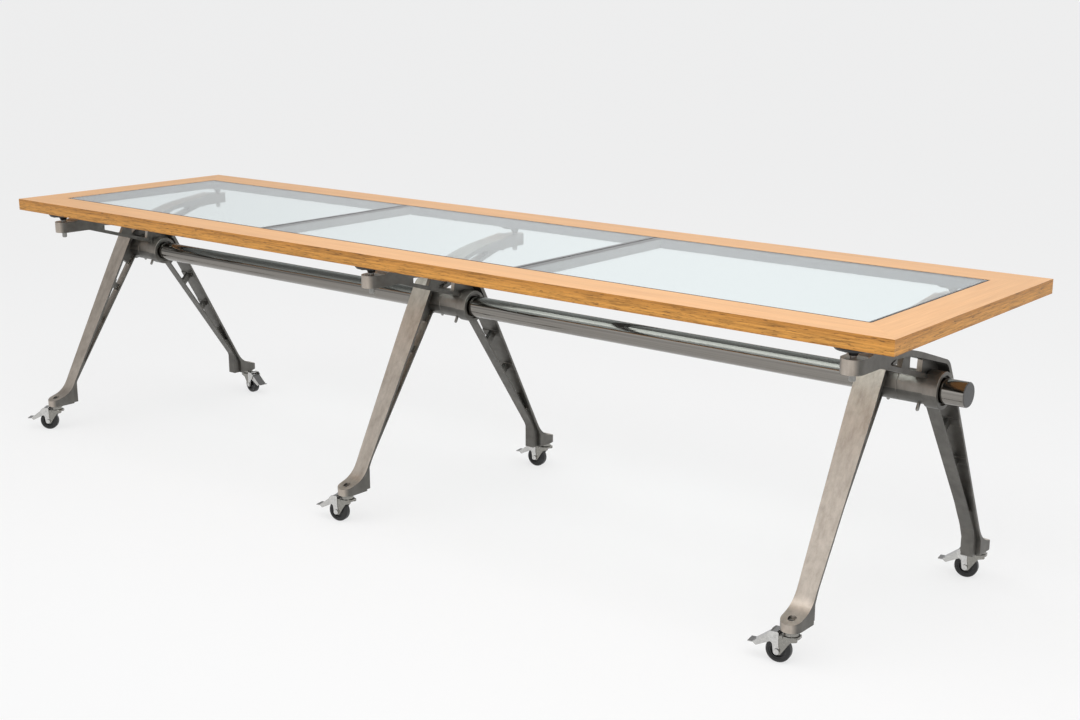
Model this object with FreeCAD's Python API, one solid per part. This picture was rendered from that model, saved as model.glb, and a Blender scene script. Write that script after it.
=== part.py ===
import FreeCAD, Part
import math
import os
from FreeCAD import Vector

# All sizes are in millimetres. X runs along the table, Y from front to rear, Z up from the floor.

# Wooden frame of the top
TOP_LENGTH = 3000
TOP_DEPTH = 785
TOP_HEIGHT = 750
RAIL_THICKNESS = 34
RAIL_WIDTH = 105
REBATE_WIDTH = 12
BAR_WIDTH = 40

# Glass and its seal
GLASS_THICKNESS = 10
SEAL_BED = 2
EDGE_SEAL_WIDTH = 4
JOINT_SEAL_WIDTH = 5
SEAL_SINK = 0.5
PANE_NAMES = ("left", "middle", "right")

# Trestles: the outer two are set in from the ends of the top, the third stands midway between them
TRESTLE_NAMES = ("left", "middle", "right")
LEFT_SETBACK = 107
RIGHT_SETBACK = 165
CASTING_OFFSET = 53

# Spine tube and its end plugs
TUBE_DIAMETER = 57
TUBE_WALL = 3
TUBE_HEIGHT = 555
TUBE_LEFT_SHOW = 1
TUBE_RIGHT_SHOW = 56
PLUG_HEAD = 5
PLUG_SPIGOT = 18
PLUG_CHAMFER = 2

# Hub of a casting, from the trestle's middle plane outwards
SLEEVE_WALL = 8.5
SLEEVE_LENGTH = 63
SLEEVE_CHAMFER = 1.2
COLLAR_WALL = 13.5
COLLAR_LENGTH = 33
COLLAR_BLEND = 2
HUB_PLAY = 0.1
MOUTH_GAP = 5
MOUTH_DEPTH = 6

# Leg of a casting: two straight edges from the hub's level down to the ankle
LEG_TOP_OUTER = 71.4
LEG_TOP_INNER = 0.9
ANKLE_RISE = 81
ANKLE_OUTER_SETBACK = 64.5
ANKLE_INNER_SETBACK = 81.3
LEG_FLANGE = 7
LEG_INNER_FLANGE = 5
POCKET_RISE = 126
POCKET_HEAD_DROP = 15

# Slots through the leg's web
FIRST_SLOT_DROP = 40
FIRST_SLOT_LENGTH = 66
LAST_SLOT_RISE = 41
SLOT_BRIDGE = 16
SLOT_SLANT = 0.3
WINDOW_CORNER = 4

# Foot of a casting
FOOT_SETBACK = 40.5
FOOT_NOSE_RADIUS = 25
NOSE_HEIGHT = 15
FOOT_CORNER_RISE = 38
FOOT_TOP_BLEND = 70
HEEL_SETBACK = 71
HEEL_BLEND = 25
NOSE_ROOT = 50
NOSE_ROOT_BLEND = 15
STEM_HOLE_RADIUS = 6.2
NUT_POCKET_RADIUS = 9.5
NUT_SEAT = 13

# Arm of a casting, from the boss under the top back to the hub
BOSS_SETBACK = 50.5
BOSS_RADIUS = 26
BOSS_DEPTH = 32
BOSS_SHOULDER = 20
BOSS_BLEND = 15
CREST_IN = 38
CREST_RISE = 4
ARM_BACK_REACH = 140
ARM_BACK_DROP = 16
ARM_BACK_RADIUS = 600
BEND_RISE = 59
BEND_RADIUS = 40
KINK_IN = 72
KINK_RADIUS = 40
ARM_ROOT_REACH = 20
ARM_ROOT_RISE = 25
ARM_FLANGE = 15
UNDER_BEND_REACH = 31
UNDER_BEND_RISE = 52
UNDER_BEND_RADIUS = 30
CREASE_START_IN = 84
CREASE_START_DROP = 37
CREASE_END_IN = 124
CREASE_END_DROP = 24
ARM_LOWER_FLANGE = 10.5

# Windows in the arm's web: reach of the outer end, and of the inner end at its top and its bottom
ARM_WINDOWS = ((206, 126, 140), (99, 38, 42))

# Widths of a casting along the table, as half widths
HALF_WEB = 6
HALF_INNER_FLANGE = 15
HALF_FLANGE = 33
HALF_ANKLE = 23.6
FULL_WIDTH_FRONT = 30
ANKLE_TAPER_START = 31
ANKLE_TAPER_END = 71
FLANGE_TAPER_DROP = 35

# Clamp screws
SCREW_PLACE = 46
SCREW_RADIUS = 4
SCREW_SHOW = 18
SCREW_TILT = 26

# Support plates, studs and wood screws
PLATE_RADIUS = 42
PLATE_LOWER_RADIUS = 38
PLATE_RIM = 5
PLATE_THICKNESS = 10
NECK_TOP_RADIUS = 17
NECK_BOTTOM_RADIUS = 9
NECK_WAIST = 2
NECK_HEIGHT = 13
NECK_FLARE = 20
STUD_RADIUS = 7
STUD_PLAY = 0.1
STUD_BELOW = 17
STUD_GAP = 5
STUD_IN_PLATE = 8
STUD_TIP = 3
PLATE_SCREW_CIRCLE = 30
PLATE_SCREW_RADIUS = 2
PLATE_SCREW_DEPTH = 14
SCREW_HEAD_RADIUS = 4
SCREW_HEAD_HEIGHT = 2
PLATE_SCREW_ANGLES = (30, 150, 270)

# Castor, with the swivel axis upright at its own origin and the wheel trailing along +X
TRAIL = 26
WHEEL_RADIUS = 28.5
TYRE_HALF_WIDTH = 10
TYRE_INNER_RADIUS = 20
TYRE_SHOULDER = 5
RIM_HALF_WIDTH = 8.5
RIM_DEPTH = 3.5
RIM_SLOPE = 1
WHEEL_BOSS_RADIUS = 8
WHEEL_DISC = 4
WHEEL_SIDE_PLAY = 0.5
AXLE_RADIUS = 4
RUNNING_PLAY = 0.05
AXLE_HEAD_RADIUS = 6.5
AXLE_HEAD_HEIGHT = 3
STEM_RADIUS = 6
STEM_SHOW = 2
NUT_ACROSS_FLATS = 16
NUT_HEIGHT = 8
RACE_RADIUS = 20
RACE_THICKNESS = 4
RACE_BLEND = 1.5
SPIGOT_RADIUS = 7
RIVET_RADIUS = 10
RIVET_HEIGHT = 3
SWIVEL_GAP = 0.3

# Fork of a castor
HEAD_RADIUS = 20.5
HEAD_HEIGHT = 13.7
HEAD_RIM = 6
HEAD_NECK_RADIUS = 15.5
HEAD_BLEND = 2
CROWN_CLEARANCE = 4
CROWN_THICKNESS = 4
CROWN_BACK = 18.5
CROWN_FRONT_SETBACK = 3
CHEEK_CLEARANCE = 2
CHEEK_SHEET = 2.5
CHEEK_LIP = 4
CHEEK_LIP_BLEND = 3
CHEEK_WAIST_BACK = 3
CHEEK_WAIST_DROP = 8
CHEEK_WAIST_BLEND = 10
CHEEK_END_BACK = 7
CHEEK_END_FRONT = 9
CHEEK_END_DEPTH = 8
CHEEK_END_BLEND = 6

# Brake bracket: two side plates on the axle, joined by a bridge above the pedal's pivot
BRACKET_SHEET = 2
BRACKET_RISE = 12
BRACKET_FOOT = 7
BRACKET_FOOT_BLEND = 6
BRACKET_BLEND = 3
STRAP_BACK = 3.5
STRAP_FRONT = 10.5
STRAP_RISE = 17.5
STRAP_BLEND = 6
BRACKET_TOE_OUT = 12
BRACKET_TOE_DROP = 12
BRACKET_TIP_OUT = 18.5
BRACKET_TIP_RISE = 3
BRACKET_CREST_OUT = 10
BRIDGE_INSET = 4

# Brake pedal, level on its pivot before it is tipped to its slope
PIVOT_LEAD = 5
PIVOT_RISE = 1
PIN_RADIUS = 3
PEDAL_SLOPE = 30
PEDAL_PLAY = 0.7
PEDAL_SHEET = 2
PEDAL_LENGTH = 56
TREAD_START = 14
TREAD_START_RISE = 10.5
TREAD_END_RISE = 5.5
LIP_OUT = 10
LIP_RISE = 5.5
EAR_RADIUS = 5
EAR_LENGTH = 8
SKIRT_START = 16
SKIRT_DEPTH = 7
SKIRT_END_DEPTH = 4.5
PEDAL_BLEND = 3

# Way the wheel trails from each swivel axis, as photographed, in degrees from +X
CASTOR_TURNS = {
    "front_left": 217,
    "front_middle": 192,
    "front_right": 190,
    "rear_left": 355,
    "rear_middle": 188,
    "rear_right": 190,
}

FULL_TURN = 360

# Overshoot of a cutting shape past what it cuts
SPARE = 10

# Share of a side that the arcs at its two corners may take up
SIDE_SHARE = 0.98

UP = Vector(0, 0, 1)


def on_side(y, z):
    return Vector(0, y, z)


def on_plan(x, y):
    return Vector(x, y, 0)


def on_front(x, z):
    return Vector(x, 0, z)


def fitting_reaches(points, reaches):
    """Draws corner arcs in where the side between two corners is too short for both."""
    fitted = list(reaches)
    for index in range(len(points)):
        room = points[index - 1].distanceToPoint(points[index]) * SIDE_SHARE
        wanted = reaches[index - 1] + reaches[index]
        if wanted > room:
            for corner in (index - 1, index):
                fitted[corner] = min(fitted[corner], reaches[corner] * room / wanted)
    return fitted


def rounded_face(corners, place):
    """Flat face through corners given as (a, b) or (a, b, radius); place puts (a, b) in space."""
    points = [place(corner[0], corner[1]) for corner in corners]
    sides = []
    reaches = []
    for index, corner in enumerate(corners):
        back = (points[index - 1] - points[index]).normalize()
        ahead = (points[(index + 1) % len(points)] - points[index]).normalize()
        half_angle = back.getAngle(ahead) / 2
        sides.append((back, ahead, half_angle))
        reaches.append(corner[2] / math.tan(half_angle) if len(corner) > 2 else 0)
    edges = []
    ends = []
    for here, (back, ahead, half_angle), reach in zip(points, sides, fitting_reaches(points, reaches)):
        start = here + back * reach
        end = here + ahead * reach
        if ends:
            edges.append(Part.makeLine(ends[-1], start))
        if reach:
            depth = reach / math.cos(half_angle) - reach * math.tan(half_angle)
            middle = here + (back + ahead).normalize() * depth
            edges.append(Part.Arc(start, middle, end).toShape())
        ends += [start, end]
    edges.append(Part.makeLine(ends[-1], ends[0]))
    return Part.Face(Part.Wire(edges))


def side_prism(corners, x_from, x_to):
    face = rounded_face(corners, on_side)
    face.translate(Vector(x_from, 0, 0))
    return face.extrude(Vector(x_to - x_from, 0, 0))


def plan_prism(corners, z_from, z_to):
    face = rounded_face(corners, on_plan)
    face.translate(Vector(0, 0, z_from))
    return face.extrude(Vector(0, 0, z_to - z_from))


def front_prism(corners, y_from, y_to):
    face = rounded_face(corners, on_front)
    face.translate(Vector(0, y_from, 0))
    return face.extrude(Vector(0, y_to - y_from, 0))


def box(x_from, x_to, y_from, y_to, z_from, z_to):
    return Part.makeBox(x_to - x_from, y_to - y_from, z_to - z_from, Vector(x_from, y_from, z_from))


def upright(radius, x, y, z_from, z_to):
    return Part.makeCylinder(radius, z_to - z_from, Vector(x, y, z_from), UP)


def along_x(radius, x_from, x_to):
    return Part.makeCylinder(radius, x_to - x_from, Vector(x_from, 0, TUBE_HEIGHT), Vector(1, 0, 0))


def end_edges(shape, x):
    """Edges that lie flat at one place along the tube."""
    return [edge for edge in shape.Edges if edge.Closed and abs(edge.CenterOfMass.x - x) < 0.001]


def chamfered_end(shape, x, size):
    return shape.makeChamfer(size, end_edges(shape, x))


def along_y(radius, x, z, y_from, y_to):
    return Part.makeCylinder(radius, y_to - y_from, Vector(x, y_from, z), Vector(0, 1, 0))


def turned(shape, degrees):
    copy = shape.copy()
    copy.rotate(Vector(0, 0, 0), UP, degrees)
    return copy


def moved(shape, x, y, z=0):
    copy = shape.copy()
    copy.translate(Vector(x, y, z))
    return copy


def spun(corners, x, y):
    """Solid of revolution about an upright axis, from corners given as (radius, height)."""
    face = rounded_face(corners, on_front)
    solid = face.revolve(Vector(0, 0, 0), UP, FULL_TURN)
    return moved(solid, x, y)


def between(start, end, share):
    return start + (end - start) * share


# Heights and places that follow from the driving sizes

def top_underside():
    return TOP_HEIGHT - RAIL_THICKNESS


def ledge_top():
    return TOP_HEIGHT - GLASS_THICKNESS - SEAL_BED


def neck_bottom():
    return top_underside() - PLATE_THICKNESS - NECK_HEIGHT


def boss_top():
    return neck_bottom() - STUD_GAP


def boss_bottom():
    return boss_top() - BOSS_DEPTH


def crown_bottom():
    return 2 * WHEEL_RADIUS + CROWN_CLEARANCE


def crown_top():
    return crown_bottom() + CROWN_THICKNESS


def head_top():
    return crown_bottom() + HEAD_HEIGHT


def race_bottom():
    return head_top() + SWIVEL_GAP


def foot_bottom():
    return race_bottom() + RACE_THICKNESS


def nut_floor():
    return foot_bottom() + NUT_SEAT


def foot_reach():
    return TOP_DEPTH / 2 - FOOT_SETBACK


def boss_reach():
    return TOP_DEPTH / 2 - BOSS_SETBACK


def cheek_inside():
    return TYRE_HALF_WIDTH + CHEEK_CLEARANCE


def cheek_outside():
    return cheek_inside() + CHEEK_SHEET


def bracket_outside():
    return cheek_outside() + BRACKET_SHEET


def pedal_pivot():
    return TRAIL + PIVOT_LEAD, crown_bottom() + PIVOT_RISE


def sleeve_radius():
    return TUBE_DIAMETER / 2 + SLEEVE_WALL


def hub_length():
    return SLEEVE_LENGTH + COLLAR_LENGTH


def trestle_x(index):
    left = -TOP_LENGTH / 2 + LEFT_SETBACK
    right = TOP_LENGTH / 2 - RIGHT_SETBACK
    return between(left, right, index / (len(TRESTLE_NAMES) - 1))


def tube_ends():
    left = trestle_x(0) - hub_length() - TUBE_LEFT_SHOW
    right = trestle_x(len(TRESTLE_NAMES) - 1) + hub_length() + TUBE_RIGHT_SHOW
    return left, right


def placed_casting(shape, index, row):
    """Puts a shape made for a rear leg at trestle x; the front leg is the same turned half round."""
    half_turn = 0 if row == "rear" else 180
    return moved(turned(shape, half_turn), trestle_x(index), 0)


def castor_places():
    for index, name in enumerate(TRESTLE_NAMES):
        for row, side in (("front", -1), ("rear", 1)):
            yield row + "_" + name, trestle_x(index) + side * CASTING_OFFSET, side * foot_reach()


def plate_places():
    for index in range(len(TRESTLE_NAMES)):
        for side in (-1, 1):
            yield trestle_x(index) + side * CASTING_OFFSET, -side * boss_reach()


def plate_screw_places():
    for x, y in plate_places():
        for angle in PLATE_SCREW_ANGLES:
            turn = math.radians(angle)
            yield x + PLATE_SCREW_CIRCLE * math.cos(turn), y + PLATE_SCREW_CIRCLE * math.sin(turn)


# Top

def mitred_plank(length, depth, width, z_from, z_to):
    corners = [
        (-length / 2, -depth / 2),
        (length / 2, -depth / 2),
        (length / 2 - width, -depth / 2 + width),
        (-length / 2 + width, -depth / 2 + width),
    ]
    return plan_prism(corners, z_from, z_to)


def rail(length, depth, turn):
    lower = mitred_plank(length, depth, RAIL_WIDTH + REBATE_WIDTH, top_underside(), ledge_top())
    upper = mitred_plank(length, depth, RAIL_WIDTH, ledge_top(), TOP_HEIGHT)
    plank = turned(lower.fuse(upper).removeSplitter(), turn)
    for x, y in plate_screw_places():
        hole = upright(PLATE_SCREW_RADIUS, x, y, top_underside(), top_underside() + PLATE_SCREW_DEPTH)
        if plank.BoundBox.intersect(hole.BoundBox):
            plank = plank.cut(hole)
    return plank


def pane_width():
    opening = TOP_LENGTH - 2 * RAIL_WIDTH - 2 * EDGE_SEAL_WIDTH
    joints = len(PANE_NAMES) - 1
    return (opening - joints * JOINT_SEAL_WIDTH) / len(PANE_NAMES)


def pane(index):
    half_width = pane_width() / 2
    half_depth = TOP_DEPTH / 2 - RAIL_WIDTH - EDGE_SEAL_WIDTH
    middle = (index - 1) * (pane_width() + JOINT_SEAL_WIDTH)
    return box(middle - half_width, middle + half_width, -half_depth, half_depth,
               TOP_HEIGHT - GLASS_THICKNESS, TOP_HEIGHT)


def joint_places():
    reach = (pane_width() + JOINT_SEAL_WIDTH) / 2
    return (-reach, reach)


def glass_bars():
    half_depth = TOP_DEPTH / 2 - RAIL_WIDTH - REBATE_WIDTH
    half = BAR_WIDTH / 2
    bars = [box(x - half, x + half, -half_depth, half_depth, top_underside(), ledge_top())
            for x in joint_places()]
    return Part.makeCompound(bars)


def glass_seal():
    half_length = TOP_LENGTH / 2 - RAIL_WIDTH
    half_depth = TOP_DEPTH / 2 - RAIL_WIDTH
    seal = box(-half_length, half_length, -half_depth, half_depth, ledge_top(), TOP_HEIGHT - SEAL_SINK)
    for index in range(len(PANE_NAMES)):
        seal = seal.cut(pane(index))
    left_joint, right_joint = joint_places()
    clear_end = half_length - REBATE_WIDTH
    clear_depth = half_depth - REBATE_WIDTH
    half_bar = BAR_WIDTH / 2
    spans = (
        (-clear_end, left_joint - half_bar),
        (left_joint + half_bar, right_joint - half_bar),
        (right_joint + half_bar, clear_end),
    )
    for start, end in spans:
        seal = seal.cut(box(start, end, -clear_depth, clear_depth, ledge_top(), TOP_HEIGHT - GLASS_THICKNESS))
    return seal


# Spine tube

def spine_tube():
    left, right = tube_ends()
    outer = along_x(TUBE_DIAMETER / 2, left + PLUG_HEAD, right - PLUG_HEAD)
    inner = along_x(TUBE_DIAMETER / 2 - TUBE_WALL, left, right)
    return outer.cut(inner)


def tube_plugs():
    left_end, right_end = tube_ends()
    bore = TUBE_DIAMETER / 2 - TUBE_WALL
    left = chamfered_end(along_x(TUBE_DIAMETER / 2, left_end, left_end + PLUG_HEAD), left_end, PLUG_CHAMFER)
    left = left.fuse(along_x(bore, left_end + PLUG_HEAD, left_end + PLUG_SPIGOT))
    right = chamfered_end(along_x(TUBE_DIAMETER / 2, right_end - PLUG_HEAD, right_end), right_end, PLUG_CHAMFER)
    right = right.fuse(along_x(bore, right_end - PLUG_SPIGOT, right_end - PLUG_HEAD))
    return Part.makeCompound([left.removeSplitter(), right.removeSplitter()])


# Castings, made for a rear leg: the leg runs towards +Y, the arm towards -Y

def share_down_leg(height):
    return (TUBE_HEIGHT - height) / (TUBE_HEIGHT - foot_bottom() - ANKLE_RISE)


def leg_outer(height):
    return between(LEG_TOP_OUTER, foot_reach() - ANKLE_OUTER_SETBACK, share_down_leg(height))


def leg_inner(height):
    return between(LEG_TOP_INNER, foot_reach() - ANKLE_INNER_SETBACK, share_down_leg(height))


def pocket_outer(height):
    return leg_outer(height) - LEG_FLANGE


def pocket_inner(height):
    return leg_inner(height) + LEG_INNER_FLANGE


def heel_height():
    """Height at which the leg's inner edge reaches the heel."""
    lean = leg_inner(TUBE_HEIGHT - 1) - LEG_TOP_INNER
    return TUBE_HEIGHT - (foot_reach() - HEEL_SETBACK - LEG_TOP_INNER) / lean


def arm_floor(reach):
    """Height of the arm's lower edge at a reach from the hub towards the boss."""
    kink = boss_reach() - KINK_IN
    root = TUBE_HEIGHT + ARM_ROOT_RISE
    return between(root, boss_bottom(), (reach - ARM_ROOT_REACH) / (kink - ARM_ROOT_REACH))


def under_back():
    return -ARM_BACK_REACH, boss_top() - ARM_BACK_DROP - ARM_FLANGE


def under_bend():
    return UNDER_BEND_REACH, TUBE_HEIGHT + UNDER_BEND_RISE


def crease_end():
    return -boss_reach() + CREASE_END_IN, boss_top() - CREASE_END_DROP


def flange_floor(reach):
    """Height of the wide flange's underside along the arm."""
    start, end = crease_end(), under_back()
    if -reach > end[0]:
        start, end = under_back(), under_bend()
    return between(start[1], end[1], (-reach - start[0]) / (end[0] - start[0]))


def casting_outline():
    """Side view of a whole casting, rear leg to the right and arm to the left."""
    past_boss = -boss_reach() - BOSS_RADIUS - SPARE
    past_nose = foot_reach() + FOOT_NOSE_RADIUS + SPARE
    heel = foot_reach() - HEEL_SETBACK
    corner = foot_bottom() + FOOT_CORNER_RISE
    bend = TUBE_HEIGHT + BEND_RISE
    return [
        (past_boss, boss_bottom()),
        (-boss_reach() + KINK_IN, boss_bottom(), KINK_RADIUS),
        (-ARM_ROOT_REACH, TUBE_HEIGHT + ARM_ROOT_RISE),
        (LEG_TOP_INNER, TUBE_HEIGHT),
        (heel, heel_height(), HEEL_BLEND),
        (heel, foot_bottom()),
        (past_nose, foot_bottom()),
        (past_nose, foot_bottom() + NOSE_HEIGHT),
        (leg_outer(corner), corner, FOOT_TOP_BLEND),
        (leg_outer(bend), bend, BEND_RADIUS),
        (-ARM_BACK_REACH, boss_top() - ARM_BACK_DROP, ARM_BACK_RADIUS),
        (-boss_reach() + CREST_IN, boss_top() + CREST_RISE, BOSS_BLEND),
        (-boss_reach() + BOSS_SHOULDER, boss_top(), BOSS_BLEND),
        (past_boss, boss_top()),
    ]


def casting_from_above():
    """Plan of a casting: slim at the boss, full width along the middle, round at the nose of the foot."""
    plan = plan_prism([
        (CASTING_OFFSET - BOSS_RADIUS, -boss_reach()),
        (CASTING_OFFSET + BOSS_RADIUS, -boss_reach()),
        (CASTING_OFFSET + HALF_FLANGE, -FULL_WIDTH_FRONT),
        (CASTING_OFFSET + HALF_FLANGE, foot_reach() - NOSE_ROOT),
        (CASTING_OFFSET + FOOT_NOSE_RADIUS, foot_reach()),
        (CASTING_OFFSET - FOOT_NOSE_RADIUS, foot_reach()),
        (CASTING_OFFSET - HALF_FLANGE, foot_reach() - NOSE_ROOT),
        (CASTING_OFFSET - HALF_FLANGE, -FULL_WIDTH_FRONT),
    ], 0, TOP_HEIGHT)
    plan = plan.fuse(upright(BOSS_RADIUS, CASTING_OFFSET, -boss_reach(), 0, TOP_HEIGHT))
    return plan.fuse(upright(FOOT_NOSE_RADIUS, CASTING_OFFSET, foot_reach(), 0, TOP_HEIGHT))


def casting_from_front():
    """Front view of a casting: narrowest at the ankle, widening up to the hub."""
    widths = (
        (0, FOOT_NOSE_RADIUS),
        (foot_bottom() + ANKLE_TAPER_START, FOOT_NOSE_RADIUS),
        (foot_bottom() + ANKLE_TAPER_END, HALF_ANKLE),
        (TUBE_HEIGHT - FLANGE_TAPER_DROP, HALF_FLANGE),
        (TOP_HEIGHT, HALF_FLANGE),
    )
    right_edge = [(CASTING_OFFSET + half, height) for height, half in widths]
    left_edge = [(CASTING_OFFSET - half, height) for height, half in reversed(widths)]
    return front_prism(right_edge + left_edge, -TOP_DEPTH, TOP_DEPTH)


def casting_blank():
    left = CASTING_OFFSET - HALF_FLANGE
    body = side_prism(casting_outline(), left, left + 2 * HALF_FLANGE)
    return body.common(casting_from_above()).common(casting_from_front())


def under_flange():
    """Inner side of the wide flange, from the arm round the bend and down the leg."""
    return [under_back(), under_bend() + (UNDER_BEND_RADIUS,)]


def narrow_zone():
    """Side view of everything that is only as wide as the inner flange."""
    nose_root = foot_reach() - NOSE_ROOT
    ankle = foot_bottom() + ANKLE_RISE
    crease_start = -boss_reach() + CREASE_START_IN
    return [(crease_start, boss_top() - CREASE_START_DROP), crease_end()] + under_flange() + [
        (pocket_outer(ankle), ankle),
        (nose_root, foot_bottom() + FOOT_CORNER_RISE, NOSE_ROOT_BLEND),
        (nose_root, foot_bottom() - SPARE),
        (foot_reach() - HEEL_SETBACK - SPARE, foot_bottom() - SPARE),
        (leg_inner(ankle) - SPARE, ankle),
        (LEG_TOP_INNER - SPARE, TUBE_HEIGHT - SPARE),
        (crease_start, TUBE_HEIGHT),
    ]


def pocket_zone():
    """Side view of the pocket between the flanges, down to the web."""
    end = ARM_WINDOWS[0][0]
    bottom = foot_bottom() + POCKET_RISE
    head = TUBE_HEIGHT - POCKET_HEAD_DROP
    return [(-end, arm_floor(end) + ARM_LOWER_FLANGE), (-end, flange_floor(end))] + under_flange() + [
        (pocket_outer(bottom), bottom),
        (pocket_inner(bottom), bottom),
        (pocket_inner(head), head),
        (-ARM_ROOT_REACH, arm_floor(ARM_ROOT_REACH) + ARM_LOWER_FLANGE),
    ]


def slot_spans():
    """Top and bottom height of each slot in the leg, with a bridge left between slots."""
    top = TUBE_HEIGHT - FIRST_SLOT_DROP
    bottom = foot_bottom() + POCKET_RISE + LAST_SLOT_RISE
    first_end = top - FIRST_SLOT_LENGTH
    middle = (first_end + bottom) / 2
    return (
        (top, first_end),
        (first_end - SLOT_BRIDGE, middle),
        (middle - SLOT_BRIDGE, bottom),
    )


def leg_slot(top, bottom):
    rise = SLOT_SLANT * (pocket_outer(top) - pocket_inner(top))
    drop = SLOT_SLANT * (pocket_outer(bottom) - pocket_inner(bottom))
    return [
        (pocket_inner(top - rise), top - rise, WINDOW_CORNER),
        (pocket_outer(top + rise), top + rise, WINDOW_CORNER),
        (pocket_outer(bottom + drop), bottom + drop, WINDOW_CORNER),
        (pocket_inner(bottom - drop), bottom - drop, WINDOW_CORNER),
    ]


def arm_window(outer, inner_top, inner_bottom):
    return [
        (-outer, arm_floor(outer) + ARM_LOWER_FLANGE, WINDOW_CORNER),
        (-outer, flange_floor(outer), WINDOW_CORNER),
        (-inner_top, flange_floor(inner_top), WINDOW_CORNER),
        (-inner_bottom, arm_floor(inner_bottom) + ARM_LOWER_FLANGE, WINDOW_CORNER),
    ]


def screw_direction():
    tilt = math.radians(SCREW_TILT)
    return Vector(0, -math.sin(tilt), -math.cos(tilt))


def screw_start(radius):
    return Vector(SCREW_PLACE, 0, TUBE_HEIGHT) + screw_direction() * radius


def screw_reach():
    return sleeve_radius() + SCREW_SHOW


def casting():
    body = casting_blank()
    far = CASTING_OFFSET + HALF_FLANGE + SPARE
    near = CASTING_OFFSET - HALF_FLANGE - SPARE
    for zone, half in ((narrow_zone(), HALF_INNER_FLANGE), (pocket_zone(), HALF_WEB)):
        body = body.cut(side_prism(zone, CASTING_OFFSET + half, far))
        body = body.cut(side_prism(zone, near, CASTING_OFFSET - half))
    slots = [leg_slot(top, bottom) for top, bottom in slot_spans()]
    windows = [arm_window(*reaches) for reaches in ARM_WINDOWS]
    for opening in slots + windows:
        body = body.cut(side_prism(opening, near, far))
    collar = along_x(TUBE_DIAMETER / 2 + COLLAR_WALL, SLEEVE_LENGTH, hub_length())
    collar = collar.makeFillet(COLLAR_BLEND, end_edges(collar, hub_length()))
    body = body.fuse(chamfered_end(along_x(sleeve_radius(), 0, SLEEVE_LENGTH), 0, SLEEVE_CHAMFER))
    body = body.fuse(collar).removeSplitter()
    body = body.cut(along_x(TUBE_DIAMETER / 2 + HUB_PLAY, -SPARE, hub_length() + SPARE))
    body = body.cut(along_x(TUBE_DIAMETER / 2 + MOUTH_GAP, hub_length() - MOUTH_DEPTH, hub_length() + SPARE))
    body = body.cut(Part.makeCylinder(SCREW_RADIUS, screw_reach(), screw_start(0), screw_direction()))
    body = body.cut(upright(STUD_RADIUS + STUD_PLAY, CASTING_OFFSET, -boss_reach(), TUBE_HEIGHT, TOP_HEIGHT))
    body = body.cut(upright(STEM_HOLE_RADIUS, CASTING_OFFSET, foot_reach(), 0, nut_floor()))
    return body.cut(upright(NUT_POCKET_RADIUS, CASTING_OFFSET, foot_reach(), nut_floor(), TUBE_HEIGHT))


def clamp_screw():
    start = TUBE_DIAMETER / 2
    length = screw_reach() - start - SCREW_RADIUS
    shank = Part.makeCylinder(SCREW_RADIUS, length, screw_start(start), screw_direction())
    tip = Part.makeSphere(SCREW_RADIUS, screw_start(screw_reach() - SCREW_RADIUS))
    return shank.fuse(tip).removeSplitter()


# Supports under the top

def support_plate(x, y):
    bottom = top_underside() - PLATE_THICKNESS
    plate = spun([
        (0, neck_bottom()),
        (NECK_BOTTOM_RADIUS, neck_bottom()),
        (NECK_BOTTOM_RADIUS + NECK_WAIST, bottom - NECK_HEIGHT / 2, NECK_FLARE),
        (NECK_TOP_RADIUS, bottom),
        (PLATE_LOWER_RADIUS, bottom),
        (PLATE_RADIUS, top_underside() - PLATE_RIM),
        (PLATE_RADIUS, top_underside()),
        (0, top_underside()),
    ], x, y)
    plate = plate.cut(upright(STUD_RADIUS, x, y, neck_bottom(), top_underside() - STUD_IN_PLATE))
    for screw_x, screw_y in plate_screw_places():
        if math.hypot(screw_x - x, screw_y - y) < PLATE_RADIUS:
            plate = plate.cut(upright(PLATE_SCREW_RADIUS, screw_x, screw_y, bottom, top_underside()))
    return plate


def support_plates():
    return Part.makeCompound([support_plate(x, y) for x, y in plate_places()])


def support_studs():
    bottom = boss_bottom() - STUD_BELOW
    studs = []
    for x, y in plate_places():
        stud = upright(STUD_RADIUS, x, y, bottom, top_underside() - STUD_IN_PLATE)
        rim = [edge for edge in stud.Edges if edge.BoundBox.ZMax < boss_bottom() and edge.Closed]
        studs.append(stud.makeFillet(STUD_TIP, rim))
    return Part.makeCompound(studs)


def plate_screws():
    bottom = top_underside() - PLATE_THICKNESS
    screws = []
    for x, y in plate_screw_places():
        shank = upright(PLATE_SCREW_RADIUS, x, y, bottom, top_underside() + PLATE_SCREW_DEPTH)
        head = upright(SCREW_HEAD_RADIUS, x, y, bottom - SCREW_HEAD_HEIGHT, bottom)
        screws.append(shank.fuse(head).removeSplitter())
    return Part.makeCompound(screws)


# Castors

def castor_stem():
    """Rivet, spigot, upper race and threaded stem, turned in one."""
    rivet_top = crown_bottom() - SWIVEL_GAP
    stem_top = nut_floor() + NUT_HEIGHT + STEM_SHOW
    return spun([
        (0, rivet_top - RIVET_HEIGHT),
        (RIVET_RADIUS, rivet_top - RIVET_HEIGHT),
        (RIVET_RADIUS, rivet_top),
        (SPIGOT_RADIUS, rivet_top),
        (SPIGOT_RADIUS, race_bottom()),
        (RACE_RADIUS, race_bottom(), RACE_BLEND),
        (RACE_RADIUS, foot_bottom()),
        (STEM_RADIUS, foot_bottom()),
        (STEM_RADIUS, stem_top),
        (0, stem_top),
    ], 0, 0)


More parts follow.
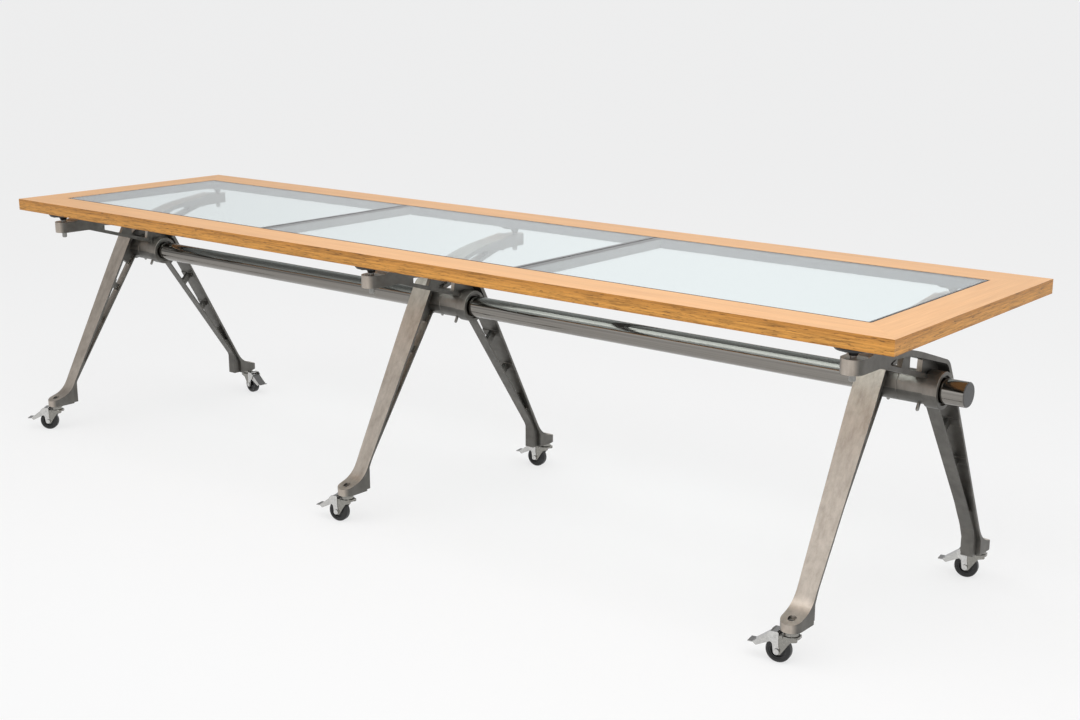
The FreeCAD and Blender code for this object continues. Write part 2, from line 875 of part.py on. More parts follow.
def stem_nut():
    sides = 6
    corner = NUT_ACROSS_FLATS / 2 / math.cos(math.pi / sides)
    corners = []
    for step in range(sides):
        turn = 2 * math.pi * step / sides
        corners.append((corner * math.cos(turn), corner * math.sin(turn)))
    nut = plan_prism(corners, nut_floor(), nut_floor() + NUT_HEIGHT)
    return nut.cut(upright(STEM_RADIUS, 0, 0, nut_floor(), nut_floor() + NUT_HEIGHT))


def swivel_head():
    """Round head of the fork: a wide rim below a narrower neck."""
    rim = crown_bottom() + HEAD_RIM
    return spun([
        (0, crown_bottom()),
        (HEAD_RADIUS, crown_bottom()),
        (HEAD_RADIUS, rim, HEAD_BLEND),
        (HEAD_NECK_RADIUS, rim, HEAD_BLEND),
        (HEAD_NECK_RADIUS, head_top()),
        (0, head_top()),
    ], 0, 0)


def castor_fork():
    front = TRAIL - CROWN_FRONT_SETBACK
    crown = box(-CROWN_BACK, front, -cheek_outside(), cheek_outside(), crown_bottom(), crown_top())
    fork = swivel_head().fuse(crown)
    cheek = [
        (-CROWN_BACK, crown_top()),
        (-CROWN_BACK, crown_bottom() - CHEEK_LIP, CHEEK_LIP_BLEND),
        (-CHEEK_WAIST_BACK, crown_bottom() - CHEEK_WAIST_DROP, CHEEK_WAIST_BLEND),
        (TRAIL - CHEEK_END_BACK, WHEEL_RADIUS - CHEEK_END_DEPTH, CHEEK_END_BLEND),
        (TRAIL + CHEEK_END_FRONT, WHEEL_RADIUS - CHEEK_END_DEPTH, CHEEK_END_BLEND),
        (front, crown_top()),
    ]
    for y_from in (-cheek_outside(), cheek_inside()):
        fork = fork.fuse(front_prism(cheek, y_from, y_from + CHEEK_SHEET))
    fork = fork.removeSplitter()
    fork = fork.cut(upright(SPIGOT_RADIUS + RUNNING_PLAY, 0, 0, 0, foot_bottom()))
    return fork.cut(along_y(AXLE_RADIUS, TRAIL, WHEEL_RADIUS, -cheek_outside(), cheek_outside()))


def brake_bracket():
    pivot_x, pivot_z = pedal_pivot()
    top = crown_bottom() + BRACKET_RISE
    outside = bracket_outside()
    strap_back = TRAIL - STRAP_BACK
    strap_top = WHEEL_RADIUS + STRAP_RISE
    crest = pivot_x + BRACKET_CREST_OUT
    plate = [
        (TRAIL - BRACKET_FOOT, WHEEL_RADIUS - BRACKET_FOOT, BRACKET_FOOT_BLEND),
        (TRAIL + BRACKET_FOOT, WHEEL_RADIUS - BRACKET_FOOT, BRACKET_FOOT_BLEND),
        (TRAIL + STRAP_FRONT, strap_top, STRAP_BLEND),
        (pivot_x + BRACKET_TOE_OUT, pivot_z - BRACKET_TOE_DROP, BRACKET_BLEND),
        (pivot_x + BRACKET_TIP_OUT, pivot_z + BRACKET_TIP_RISE, BRACKET_BLEND),
        (crest, top, BRACKET_BLEND),
        (strap_back, top, BRACKET_BLEND),
        (strap_back, strap_top, STRAP_BLEND),
    ]
    bracket = box(strap_back + BRIDGE_INSET, crest - BRIDGE_INSET, -outside, outside, top - BRACKET_SHEET, top)
    for y_from in (-outside, cheek_outside()):
        bracket = bracket.fuse(front_prism(plate, y_from, y_from + BRACKET_SHEET))
    bracket = bracket.removeSplitter()
    bracket = bracket.cut(along_y(AXLE_RADIUS, TRAIL, WHEEL_RADIUS, -outside, outside))
    return bracket.cut(along_y(PIN_RADIUS + RUNNING_PLAY, pivot_x, pivot_z, -outside, outside))


def brake_pedal():
    """Pressed channel with a flat tread and a turned-up lip, hung on ears at its pin."""
    half = cheek_outside() - PEDAL_PLAY
    lip_end = PEDAL_LENGTH + LIP_OUT
    lip_top = TREAD_END_RISE + LIP_RISE
    tread = [
        (TREAD_START, TREAD_START_RISE - PEDAL_SHEET),
        (PEDAL_LENGTH, TREAD_END_RISE - PEDAL_SHEET, PEDAL_BLEND),
        (lip_end, lip_top - PEDAL_SHEET),
        (lip_end, lip_top),
        (PEDAL_LENGTH, TREAD_END_RISE, PEDAL_BLEND),
        (TREAD_START, TREAD_START_RISE),
    ]
    skirt = [
        (0, -EAR_RADIUS),
        (EAR_LENGTH, -EAR_RADIUS, PEDAL_BLEND),
        (SKIRT_START, -SKIRT_DEPTH, PEDAL_BLEND),
        (PEDAL_LENGTH - PEDAL_BLEND, -SKIRT_END_DEPTH, PEDAL_BLEND),
        (PEDAL_LENGTH, TREAD_END_RISE - PEDAL_SHEET / 2),
        (TREAD_START, TREAD_START_RISE - PEDAL_SHEET / 2),
        (0, EAR_RADIUS),
    ]
    pedal = front_prism(tread, -half, half)
    for y_from in (-half, half - PEDAL_SHEET):
        pedal = pedal.fuse(front_prism(skirt, y_from, y_from + PEDAL_SHEET))
        pedal = pedal.fuse(along_y(EAR_RADIUS, 0, 0, y_from, y_from + PEDAL_SHEET))
    pedal = pedal.fuse(along_y(PIN_RADIUS, 0, 0, -bracket_outside(), bracket_outside())).removeSplitter()
    pedal.rotate(Vector(0, 0, 0), Vector(0, 1, 0), PEDAL_SLOPE)
    pivot_x, pivot_z = pedal_pivot()
    return moved(pedal, pivot_x, 0, pivot_z)


def axle():
    reach = bracket_outside() + AXLE_HEAD_HEIGHT
    pin = along_y(AXLE_RADIUS, TRAIL, WHEEL_RADIUS, -reach, reach)
    for y_from in (-reach, bracket_outside()):
        pin = pin.fuse(along_y(AXLE_HEAD_RADIUS, TRAIL, WHEEL_RADIUS, y_from, y_from + AXLE_HEAD_HEIGHT))
    return pin.removeSplitter()


def wheel_about_axle(corners):
    """Revolves corners given as (radius, offset across the wheel) about the axle."""
    face = rounded_face(corners, on_plan)
    solid = face.revolve(Vector(0, 0, 0), Vector(0, 1, 0), FULL_TURN)
    return moved(solid, TRAIL, 0, WHEEL_RADIUS)


def wheel_hub():
    bore = AXLE_RADIUS + RUNNING_PLAY
    boss = cheek_inside() - WHEEL_SIDE_PLAY
    rim = TYRE_INNER_RADIUS - RIM_DEPTH
    half = [
        (bore, boss),
        (WHEEL_BOSS_RADIUS, boss),
        (WHEEL_BOSS_RADIUS, WHEEL_DISC),
        (rim - RIM_SLOPE, WHEEL_DISC),
        (rim, RIM_HALF_WIDTH),
        (TYRE_INNER_RADIUS, RIM_HALF_WIDTH),
    ]
    other_half = [(radius, -offset) for radius, offset in reversed(half)]
    return wheel_about_axle(half + other_half)


def tyre():
    return wheel_about_axle([
        (TYRE_INNER_RADIUS, -TYRE_HALF_WIDTH),
        (WHEEL_RADIUS, -TYRE_HALF_WIDTH, TYRE_SHOULDER),
        (WHEEL_RADIUS, TYRE_HALF_WIDTH, TYRE_SHOULDER),
        (TYRE_INNER_RADIUS, TYRE_HALF_WIDTH),
    ])


def save(name, shape):
    shape.exportStep("parts/" + name + ".step")


def build_top():
    save("rail_front", rail(TOP_LENGTH, TOP_DEPTH, 0))
    save("rail_rear", rail(TOP_LENGTH, TOP_DEPTH, 180))
    save("rail_right", rail(TOP_DEPTH, TOP_LENGTH, 90))
    save("rail_left", rail(TOP_DEPTH, TOP_LENGTH, 270))
    save("glass_bars", glass_bars())
    save("glass_seal", glass_seal())
    for index, name in enumerate(PANE_NAMES):
        save("glass_" + name, pane(index))


def build_under_frame():
    save("spine_tube", spine_tube())
    save("tube_plugs", tube_plugs())
    shape = casting()
    screw = clamp_screw()
    screws = []
    for index, name in enumerate(TRESTLE_NAMES):
        for row in ("front", "rear"):
            save("leg_" + row + "_" + name, placed_casting(shape, index, row))
            screws.append(placed_casting(screw, index, row))
    save("clamp_screws", Part.makeCompound(screws))
    save("support_plates", support_plates())
    save("support_studs", support_studs())
    save("plate_screws", plate_screws())


def build_castors():
    pieces = {
        "fork": castor_fork(),
        "brake_bracket": brake_bracket(),
        "brake_pedal": brake_pedal(),
        "axle": axle(),
        "wheel_hub": wheel_hub(),
        "tyre": tyre(),
    }
    stems = []
    nuts = []
    for place, x, y in castor_places():
        for piece, shape in pieces.items():
            save(piece + "_" + place, moved(turned(shape, CASTOR_TURNS[place]), x, y))
        stems.append(moved(castor_stem(), x, y))
        nuts.append(moved(stem_nut(), x, y))
    save("castor_stems", Part.makeCompound(stems))
    save("stem_nuts", Part.makeCompound(nuts))


os.makedirs("parts", exist_ok=True)
build_top()
build_under_frame()
build_castors()
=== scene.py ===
import bpy
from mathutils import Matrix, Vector


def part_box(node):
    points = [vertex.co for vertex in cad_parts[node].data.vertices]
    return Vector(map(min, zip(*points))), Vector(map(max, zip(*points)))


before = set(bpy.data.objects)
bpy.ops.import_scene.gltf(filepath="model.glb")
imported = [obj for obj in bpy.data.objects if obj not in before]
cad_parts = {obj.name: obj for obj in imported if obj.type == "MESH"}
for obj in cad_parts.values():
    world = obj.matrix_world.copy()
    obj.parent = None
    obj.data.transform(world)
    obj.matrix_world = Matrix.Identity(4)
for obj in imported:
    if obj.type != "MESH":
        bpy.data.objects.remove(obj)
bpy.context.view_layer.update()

# Camera, fitted to the photograph
EYE = Vector((2.757, -2.967, 1.411))
LOOK = Vector((-0.6189, 0.7466, -0.2440))
LENS = 50.16
SENSOR = 36.0
CLIP_END = 2000.0

# Floor: wide, pale and just under the wheels; a share of what is seen of it is an even glow
FLOOR_HALF = 600.0
FLOOR_DROP = 0.0005
FLOOR_COLOUR = (0.82, 0.82, 0.82, 1.0)
GLOW_COLOUR = (0.955, 0.955, 0.955, 1.0)
GLOW_SHARE = 0.72

# Sky: soft light from all round, weaker from the front left and stronger from high in front.
# Each level changes between two edges, which are cosines of the angle to a direction.
SKY_COLOUR = (0.985, 0.99, 1.0, 1.0)
SKY_LEVEL = 1.0
DARK_SIDE = (-0.60, -0.76, 0.25)
DARK_EDGES = (-0.3, 0.7)
DARK_LEVEL = 0.30
UPWARDS = (0.0, 0.0, 1.0)
UPWARD_EDGES = (0.15, 0.75)
HORIZON_LEVEL = 0.92
ZENITH_LEVEL = 0.80
BRIGHT_SIDE = (-0.20, -0.83, 0.52)
BRIGHT_EDGES = (0.65, 1.0)
BRIGHT_LEVEL = 1.08
SEEN_LEVEL = 0.86

# Lamps: name, place, point aimed at, width, depth, and power in watts
LAMPS = (
    ("top_light", (-0.35, -1.0, 2.9), (-0.25, -0.4, 0.55), 3.0, 1.6, 30.0),
    ("near_light", (2.3, -1.3, 3.0), (1.4, 0.0, 0.6), 2.2, 2.2, 46.0),
)

# Plywood: veneer on the level faces, layers on the edges, and a dark inside under the glass, which is
# painted shade
LEVEL_FACE = 0.7
PLY_THICKNESS = 0.0042
LAYER_WANDER = 0.35
VENEER_DARK = (0.630, 0.320, 0.124, 1.0)
VENEER_MIDDLE = (0.715, 0.396, 0.172, 1.0)
VENEER_PALE = (0.770, 0.446, 0.206, 1.0)
LAYER_DARK = (0.450, 0.192, 0.036, 1.0)
LAYER_PALE = (0.625, 0.296, 0.062, 1.0)
FLECK_COLOUR = (0.095, 0.040, 0.012, 1.0)
# Painted shade: near-black colour for the rails' inner faces under the glass, where shade falls
INSIDE_SHADE_COLOUR = (0.035, 0.042, 0.050, 1.0)
GLASS_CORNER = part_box("glass_right")[1]

# Castings: rubbed bright outside; darker round the tube, on the sides and on faces that look down or
# inwards, partly raw finish and partly painted shade
TUBE_LOW, TUBE_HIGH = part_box("spine_tube")
TUBE_HEIGHT = (TUBE_LOW.z + TUBE_HIGH.z) / 2
HUB_RADIUS = 0.050
HUB_RAW_SHADE = 0.65
UNDER_FACE = -0.12
INNER_FACE = -0.5
RUBBED_DARK = (0.330, 0.286, 0.242, 1.0)
RUBBED_MIDDLE = (0.445, 0.392, 0.338, 1.0)
RUBBED_PALE = (0.545, 0.488, 0.428, 1.0)
# Darker colours: partly the raw casting, partly painted shade in recesses and under things
RAW_SHADE_DARK = (0.104, 0.100, 0.091, 1.0)
RAW_SHADE_PALE = (0.156, 0.150, 0.138, 1.0)

# Tube, steel and glass
TUBE_DARK = (0.205, 0.192, 0.175, 1.0)
TUBE_PALE = (0.270, 0.255, 0.234, 1.0)
FASTENER_COLOUR = (0.30, 0.295, 0.28, 1.0)
FORK_COLOUR = (0.30, 0.292, 0.268, 1.0)
PEDAL_COLOUR = (0.56, 0.555, 0.54, 1.0)
BRACKET_COLOUR = (0.62, 0.615, 0.60, 1.0)
GLASS_TINT = (0.885, 0.980, 0.985, 1.0)
GLASS_SHADOW = (0.960, 0.975, 0.975, 1.0)
GLASS_INDEX = 1.5

# Places of the colour sockets on a mix node, whose names are not unique
MIX_FIRST = 6
MIX_SECOND = 7
MIX_RESULT = 2


def new_material(name):
    """Empty node material; returns it with its principled shader."""
    material = bpy.data.materials.new(name)
    material.use_nodes = True
    shader = material.node_tree.nodes["Principled BSDF"]
    return material, shader


def add(owner, kind, **values):
    """New node of a material or the world, with the given properties."""
    node = owner.node_tree.nodes.new(kind)
    for key, value in values.items():
        setattr(node, key, value)
    return node


def feed(owner, socket, value):
    """Gives a socket its value: a number, a colour, or another node's output."""
    if isinstance(value, (float, tuple)):
        socket.default_value = value
    else:
        owner.node_tree.links.new(value, socket)


def sums(owner, kind, *values):
    """One arithmetic step on one to three values."""
    node = add(owner, "ShaderNodeMath", operation=kind)
    for socket, value in zip(node.inputs, values):
        feed(owner, socket, value)
    return node.outputs["Value"]


def spread(owner, value, low, high):
    """Maps a value from nought to one onto low to high."""
    node = add(owner, "ShaderNodeMapRange")
    feed(owner, node.inputs["Value"], value)
    feed(owner, node.inputs["To Min"], low)
    feed(owner, node.inputs["To Max"], high)
    return node.outputs["Result"]


def grey(level):
    """Grey colour of one level."""
    return (level, level, level, 1.0)


def noise(material, scale, detail, roughness):
    """Noise over object space, with a scale for each axis."""
    place = add(material, "ShaderNodeTexCoord")
    mapping = add(material, "ShaderNodeMapping")
    feed(material, mapping.inputs["Vector"], place.outputs["Object"])
    feed(material, mapping.inputs["Scale"], scale)
    node = add(material, "ShaderNodeTexNoise")
    feed(material, node.inputs["Vector"], mapping.outputs["Vector"])
    feed(material, node.inputs["Scale"], 1.0)
    feed(material, node.inputs["Detail"], detail)
    feed(material, node.inputs["Roughness"], roughness)
    return node.outputs["Fac"]


def ramp(material, value, stops):
    """Colour ramp with stops given as (position, colour)."""
    node = add(material, "ShaderNodeValToRGB")
    elements = node.color_ramp.elements
    elements[0].position, elements[0].color = stops[0]
    elements[1].position, elements[1].color = stops[-1]
    for position, colour in stops[1:-1]:
        element = elements.new(position)
        element.color = colour
    feed(material, node.inputs["Fac"], value)
    return node.outputs["Color"]


def blended(material, kind, share, first, second):
    """Mix of two colours, by a fixed share or a value."""
    node = add(material, "ShaderNodeMix", data_type="RGBA", blend_type=kind)
    feed(material, node.inputs["Factor"], share)
    feed(material, node.inputs[MIX_FIRST], first)
    feed(material, node.inputs[MIX_SECOND], second)
    return node.outputs[MIX_RESULT]


def bump(material, shader, height, depth, strength):
    """Fine relief of a shader's surface."""
    node = add(material, "ShaderNodeBump")
    feed(material, node.inputs["Distance"], depth)
    feed(material, node.inputs["Strength"], strength)
    feed(material, node.inputs["Height"], height)
    feed(material, shader.inputs["Normal"], node.outputs["Normal"])


def shown_instead(material, share, shader, other):
    """Shows a share of another shader in place of the first."""
    mixer = add(material, "ShaderNodeMixShader")
    output = material.node_tree.nodes["Material Output"]
    feed(material, mixer.inputs["Fac"], share)
    feed(material, mixer.inputs[1], shader.outputs[0])
    feed(material, mixer.inputs[2], other.outputs[0])
    feed(material, output.inputs["Surface"], mixer.outputs["Shader"])


def part_of(material, vector, axis):
    """One part of a vector."""
    split = add(material, "ShaderNodeSeparateXYZ")
    feed(material, split.inputs["Vector"], vector)
    return split.outputs[axis]


def normal_part(material, axis):
    """Part of the surface normal along one axis, from minus one to one."""
    geometry = add(material, "ShaderNodeNewGeometry")
    return part_of(material, geometry.outputs["Normal"], axis)


def facing(material, axis):
    """How far the surface faces along an axis, either way, from nought to one."""
    return sums(material, "ABSOLUTE", normal_part(material, axis))


def object_part(material, axis):
    """Place along one axis of the object."""
    place = add(material, "ShaderNodeTexCoord")
    return part_of(material, place.outputs["Object"], axis)


def inside_frame(material):
    """One within the outline of the glass, where the rails look into the opening, nought elsewhere."""
    within = []
    for axis, limit in (("X", GLASS_CORNER.x), ("Y", GLASS_CORNER.y)):
        reach = sums(material, "ABSOLUTE", object_part(material, axis))
        within.append(sums(material, "LESS_THAN", reach, limit))
    return sums(material, "MULTIPLY", *within)


def along_grain(along, length, width):
    """Scale of a noise that is drawn out along one axis of a level face."""
    return (length, width, width) if along == "x" else (width, length, width)


def veneer_colour(material, along, grain):
    """Face of the ply: fine grain over a broad, faint figure."""
    veneer = ramp(material, grain, [(0.30, VENEER_DARK), (0.55, VENEER_MIDDLE), (0.75, VENEER_PALE)])
    figure = noise(material, along_grain(along, 1.4, 28.0), detail=3.0, roughness=0.5)
    tone = ramp(material, figure, [(0.30, grey(0.93)), (0.70, grey(1.05))])
    return blended(material, "MULTIPLY", 1.0, veneer, tone)


def layer_colour(material):
    """Edge of the ply: layers of uneven tone, soft streaks along them, and dark flecks."""
    drift = noise(material, (2.0, 2.0, 30.0), detail=3.0, roughness=0.6)
    wander = spread(material, drift, -LAYER_WANDER, LAYER_WANDER)
    layers = sums(material, "DIVIDE", object_part(material, "Z"), PLY_THICKNESS)
    number = sums(material, "FLOOR", sums(material, "ADD", layers, wander))
    tone = add(material, "ShaderNodeTexWhiteNoise", noise_dimensions="1D")
    feed(material, tone.inputs["W"], number)
    plies = ramp(material, tone.outputs["Value"], [(0.0, LAYER_DARK), (1.0, LAYER_PALE)])
    streaks = noise(material, (14.0, 14.0, 330.0), detail=7.0, roughness=0.75)
    streak_tone = ramp(material, streaks, [(0.36, grey(0.40)), (0.50, grey(0.95)), (0.68, grey(1.25))])
    edge = blended(material, "MULTIPLY", 0.9, plies, streak_tone)
    flecks = noise(material, (45.0, 45.0, 480.0), detail=3.0, roughness=0.6)
    fleck_share = ramp(material, flecks, [(0.60, grey(0.0)), (0.68, grey(0.85))])
    return blended(material, "MIX", fleck_share, edge, FLECK_COLOUR)


def plywood(name, along):
    """Lacquered ply: veneer with grain along one axis on its faces, layers on its edges."""
    material, shader = new_material(name)
    grain = noise(material, along_grain(along, 6.4, 280.0), detail=6.0, roughness=0.6)
    level = sums(material, "GREATER_THAN", facing(material, "Z"), LEVEL_FACE)
    colour = blended(material, "MIX", level, layer_colour(material), veneer_colour(material, along, grain))
    # Painted shade: the rails' inner faces within the glass outline are coloured near-black
    colour = blended(material, "MIX", inside_frame(material), colour, INSIDE_SHADE_COLOUR)
    feed(material, shader.inputs["Base Color"], colour)
    feed(material, shader.inputs["Roughness"], spread(material, grain, 0.36, 0.50))
    feed(material, shader.inputs["Specular IOR Level"], 0.28)
    feed(material, shader.inputs["Coat Weight"], 0.10)
    feed(material, shader.inputs["Coat Roughness"], 0.25)
    bump(material, shader, grain, depth=0.0003, strength=0.25)
    return material


def round_tube(material):
    """One on the hubs round the tube, nought on the legs and arms."""
    rise = sums(material, "SUBTRACT", object_part(material, "Z"), TUBE_HEIGHT)
    reach = sums(material, "POWER", object_part(material, "Y"), 2.0)
    square = sums(material, "ADD", reach, sums(material, "POWER", rise, 2.0))
    return sums(material, "LESS_THAN", square, HUB_RADIUS ** 2)


def raw_and_shade_share(material):
    """How dark a casting is made, partly raw finish and partly painted shade: hubs in part; sides,
    undersides and inner faces wholly.
    """
    side = ramp(material, facing(material, "X"), [(0.45, grey(0.0)), (0.85, grey(1.0))])
    under = sums(material, "LESS_THAN", normal_part(material, "Z"), UNDER_FACE)
    half = sums(material, "SIGN", object_part(material, "Y"))
    outward = sums(material, "MULTIPLY", half, normal_part(material, "Y"))
    inner = sums(material, "LESS_THAN", outward, INNER_FACE)
    share = sums(material, "MULTIPLY", round_tube(material), HUB_RAW_SHADE)
    for other in (side, under, inner):
        share = sums(material, "MAXIMUM", share, other)
    return share


def cast_metal():
    """Casting that is rubbed bright and a little stained outside, with a fine sandy surface."""
    material, shader = new_material("cast_metal")
    rubbed = noise(material, (40.0, 16.0, 12.0), detail=6.0, roughness=0.7)
    bright = ramp(material, rubbed, [(0.28, RUBBED_DARK), (0.50, RUBBED_MIDDLE), (0.75, RUBBED_PALE)])
    stain = noise(material, (75.0, 75.0, 45.0), detail=6.0, roughness=0.7)
    stain_tone = ramp(material, stain, [(0.30, grey(0.88)), (0.58, grey(1.04))])
    bright = blended(material, "MULTIPLY", 1.0, bright, stain_tone)
    blotch = noise(material, (30.0, 30.0, 30.0), detail=5.0, roughness=0.6)
    # Darker colour on sides, undersides, inner faces and hubs: partly raw finish, partly painted shade
    raw_and_shade = ramp(material, blotch, [(0.30, RAW_SHADE_DARK), (0.70, RAW_SHADE_PALE)])
    colour = blended(material, "MIX", raw_and_shade_share(material), bright, raw_and_shade)
    feed(material, shader.inputs["Base Color"], colour)
    feed(material, shader.inputs["Metallic"], 0.85)
    feed(material, shader.inputs["Roughness"], spread(material, rubbed, 0.32, 0.50))
    sand = noise(material, (900.0, 900.0, 900.0), detail=3.0, roughness=0.6)
    bump(material, shader, sand, depth=0.0002, strength=0.35)
    return material


def polished_metal():
    """Polished tube with fine drawn lines along its length; its end faces are painted darker, as painted
    shade.
    """
    material, shader = new_material("polished_metal")
    lines = noise(material, (1.2, 330.0, 330.0), detail=4.0, roughness=0.65)
    side = ramp(material, lines, [(0.30, TUBE_DARK), (0.70, TUBE_PALE)])
    # Painted shade: the end faces get a much darker colour
    end = ramp(material, lines, [(0.30, grey(0.050)), (0.70, grey(0.085))])
    colour = blended(material, "MIX", facing(material, "X"), side, end)
    feed(material, shader.inputs["Base Color"], colour)
    feed(material, shader.inputs["Metallic"], 1.0)
    feed(material, shader.inputs["Roughness"], spread(material, lines, 0.07, 0.15))
    return material


def plated_steel(name, colour, top_shade, rough):
    """Plated steel, a little uneven from pressing; faces that look up or down can be painted darker, as
    painted shade.
    """
    material, shader = new_material(name)
    wear = noise(material, (220.0, 220.0, 220.0), detail=5.0, roughness=0.65)
    tone = ramp(material, wear, [(0.30, grey(0.82)), (0.70, grey(1.08))])
    plain = blended(material, "MULTIPLY", 1.0, tone, colour)
    # Painted shade: faces that look up or down are mixed towards near-black
    top = ramp(material, facing(material, "Z"), [(0.55, grey(0.0)), (0.80, grey(top_shade))])
    feed(material, shader.inputs["Base Color"], blended(material, "MIX", top, plain, grey(0.03)))
    feed(material, shader.inputs["Metallic"], 1.0)
    feed(material, shader.inputs["Roughness"], spread(material, wear, rough - 0.05, rough + 0.08))
    scratch = noise(material, (900.0, 120.0, 120.0), detail=2.0, roughness=0.5)
    bump(material, shader, scratch, depth=0.0001, strength=0.15)
    return material


def dark_solid(name, darkest, palest, rough, fineness):
    """Matt dark plastic, paint or rubber with a fine surface."""
    material, shader = new_material(name)
    mottle = noise(material, (fineness, fineness, fineness), detail=4.0, roughness=0.6)
    colour = ramp(material, mottle, [(0.30, grey(darkest)), (0.70, grey(palest))])
    feed(material, shader.inputs["Base Color"], colour)
    feed(material, shader.inputs["Roughness"], spread(material, mottle, rough - 0.08, rough + 0.08))
    bump(material, shader, mottle, depth=0.0001, strength=0.3)
    return material


def clear_glass():
    """Float glass with a faint blue-green tint; light from lamps passes through it."""
    material, shader = new_material("clear_glass")
    smear = noise(material, (3.75, 3.75, 3.75), detail=3.0, roughness=0.6)
    feed(material, shader.inputs["Base Color"], GLASS_TINT)
    feed(material, shader.inputs["Roughness"], spread(material, smear, 0.0, 0.012))
    feed(material, shader.inputs["Transmission Weight"], 1.0)
    feed(material, shader.inputs["IOR"], GLASS_INDEX)
    clear = add(material, "ShaderNodeBsdfTransparent")
    feed(material, clear.inputs["Color"], GLASS_SHADOW)
    path = add(material, "ShaderNodeLightPath")
    shown_instead(material, path.outputs["Is Shadow Ray"], shader, clear)
    return material


def dress(names, material):
    """Gives the named nodes one material."""
    for name in names:
        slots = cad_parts[name].data.materials
        slots.clear()
        slots.append(material)


def nodes_starting(*starts):
    """Names of the nodes that start with one of the given words."""
    return [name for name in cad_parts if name.startswith(starts)]


def dress_top():
    """Materials of the rails, the bars, the glass and its seal."""
    dress(["rail_front", "rail_rear"], plywood("plywood_long", "x"))
    dress(["rail_left", "rail_right"], plywood("plywood_cross", "y"))
    dress(["glass_bars"], dark_solid("grey_paint", 0.07, 0.10, rough=0.5, fineness=300.0))
    dress(["glass_left", "glass_middle", "glass_right"], clear_glass())
    dress(["glass_seal"], dark_solid("seal_rubber", 0.02, 0.045, rough=0.55, fineness=400.0))


def dress_under_frame():
    """Materials of the tube, the castings, the support plates and the fasteners."""
    dress(["spine_tube", "tube_plugs"], polished_metal())
    dress(nodes_starting("leg_"), cast_metal())
    dress(["support_plates"], dark_solid("black_paint", 0.008, 0.018, rough=0.5, fineness=500.0))
    fasteners = ["clamp_screws", "support_studs", "plate_screws", "stem_nuts"]
    dress(fasteners, plated_steel("plain_steel", FASTENER_COLOUR, top_shade=0.0, rough=0.30))


def dress_castors():
    """Materials of the castors."""
    forks = ["castor_stems"] + nodes_starting("fork_")
    dress(forks, plated_steel("fork_steel", FORK_COLOUR, top_shade=0.2, rough=0.24))
    pedals = nodes_starting("brake_pedal_")
    dress(pedals, plated_steel("pedal_steel", PEDAL_COLOUR, top_shade=0.75, rough=0.16))
    brackets = nodes_starting("brake_bracket_", "axle_")
    dress(brackets, plated_steel("bracket_steel", BRACKET_COLOUR, top_shade=0.7, rough=0.16))
    wheels = nodes_starting("wheel_hub_")
    dress(wheels, dark_solid("wheel_plastic", 0.012, 0.025, rough=0.45, fineness=300.0))
    tyres = nodes_starting("tyre_")
    dress(tyres, dark_solid("tyre_rubber", 0.006, 0.014, rough=0.42, fineness=250.0))


def make_floor():
    """Pale floor that takes the object's shadow, and is seen a little paler than it is lit."""
    bpy.ops.mesh.primitive_plane_add(size=2 * FLOOR_HALF, location=(0.0, 0.0, -FLOOR_DROP))
    floor = bpy.context.object
    floor.name = "floor"
    material, shader = new_material("floor_paint")
    feed(material, shader.inputs["Base Color"], FLOOR_COLOUR)
    feed(material, shader.inputs["Roughness"], 0.9)
    feed(material, shader.inputs["Specular IOR Level"], 0.1)
    glow = add(material, "ShaderNodeEmission")
    feed(material, glow.inputs["Color"], GLOW_COLOUR)
    path = add(material, "ShaderNodeLightPath")
    seen = sums(material, "MAXIMUM", path.outputs["Is Camera Ray"], path.outputs["Is Glossy Ray"])
    seen = sums(material, "MAXIMUM", seen, path.outputs["Is Transmission Ray"])
    shown_instead(material, sums(material, "MULTIPLY", seen, GLOW_SHARE), shader, glow)
    floor.data.materials.append(material)


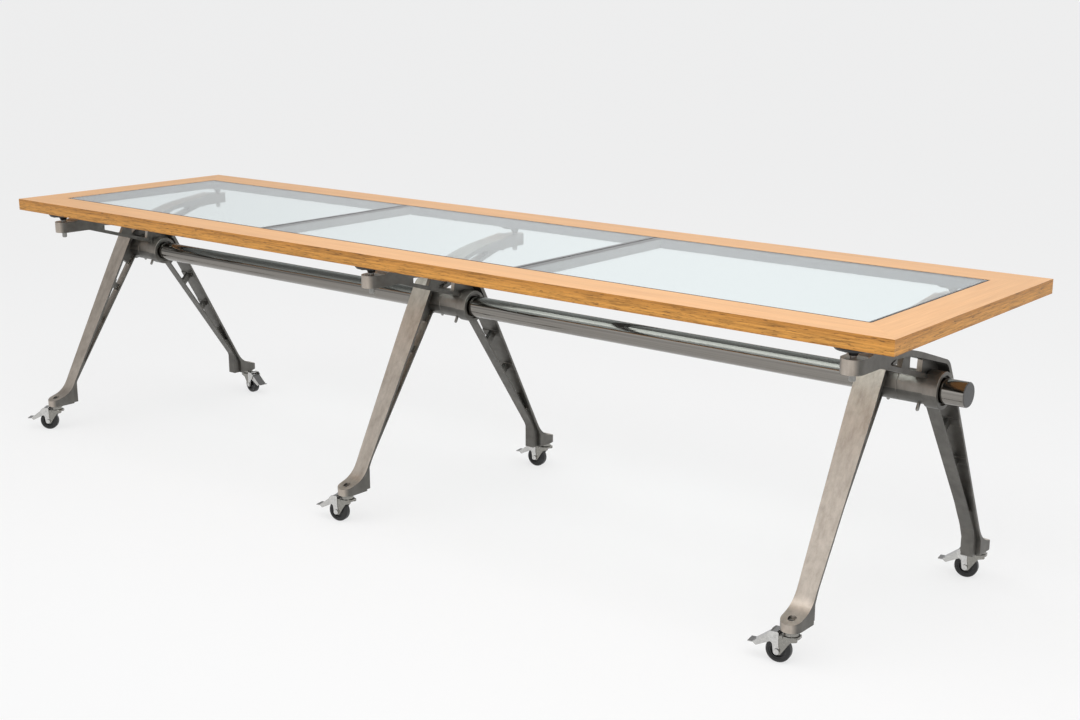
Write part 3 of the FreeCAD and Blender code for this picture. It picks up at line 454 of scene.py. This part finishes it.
def sky_step(world, direction, edges, levels):
    """Smooth change of the sky from one level to another, on the way to a direction."""
    place = add(world, "ShaderNodeTexCoord")
    nearness = add(world, "ShaderNodeVectorMath", operation="DOT_PRODUCT")
    feed(world, nearness.inputs[0], place.outputs["Generated"])
    feed(world, nearness.inputs[1], direction)
    step = add(world, "ShaderNodeMapRange", interpolation_type="SMOOTHSTEP")
    feed(world, step.inputs["Value"], nearness.outputs["Value"])
    for name, number in zip(("From Min", "From Max", "To Min", "To Max"), edges + levels):
        feed(world, step.inputs[name], number)
    return step.outputs["Result"]


def make_world():
    """Soft sky; seen directly it is as pale as the far floor."""
    world = bpy.data.worlds.new("studio")
    bpy.context.scene.world = world
    world.use_nodes = True
    dark = sky_step(world, DARK_SIDE, DARK_EDGES, (SKY_LEVEL, DARK_LEVEL))
    rise = sky_step(world, UPWARDS, UPWARD_EDGES, (HORIZON_LEVEL, ZENITH_LEVEL))
    bright = sky_step(world, BRIGHT_SIDE, BRIGHT_EDGES, (0.0, BRIGHT_LEVEL))
    path = add(world, "ShaderNodeLightPath")
    level = add(world, "ShaderNodeMix", data_type="FLOAT")
    feed(world, level.inputs["Factor"], path.outputs["Is Camera Ray"])
    feed(world, level.inputs["A"], sums(world, "MULTIPLY_ADD", dark, rise, bright))
    feed(world, level.inputs["B"], SEEN_LEVEL)
    sky = world.node_tree.nodes["Background"]
    feed(world, sky.inputs["Color"], SKY_COLOUR)
    feed(world, sky.inputs["Strength"], level.outputs["Result"])


def make_lamp(name, place, aim, width, depth, watts):
    """Soft rectangular lamp that points at a place."""
    lamp = bpy.data.lights.new(name, "AREA")
    lamp.shape = "RECTANGLE"
    lamp.size = width
    lamp.size_y = depth
    lamp.energy = watts
    holder = bpy.data.objects.new(name, lamp)
    holder.location = place
    holder.rotation_euler = (Vector(aim) - Vector(place)).to_track_quat("-Z", "Y").to_euler()
    bpy.context.scene.collection.objects.link(holder)


def make_camera():
    """Camera in the place from which the photograph was taken."""
    data = bpy.data.cameras.new("camera")
    data.lens = LENS
    data.sensor_width = SENSOR
    data.sensor_fit = "HORIZONTAL"
    data.clip_end = CLIP_END
    camera = bpy.data.objects.new("camera", data)
    camera.location = EYE
    camera.rotation_euler = LOOK.to_track_quat("-Z", "Y").to_euler()
    bpy.context.scene.collection.objects.link(camera)
    bpy.context.scene.camera = camera


dress_top()
dress_under_frame()
dress_castors()
make_floor()
make_world()
for lamp_row in LAMPS:
    make_lamp(*lamp_row)
make_camera()
bpy.context.scene.view_settings.view_transform = "Standard"
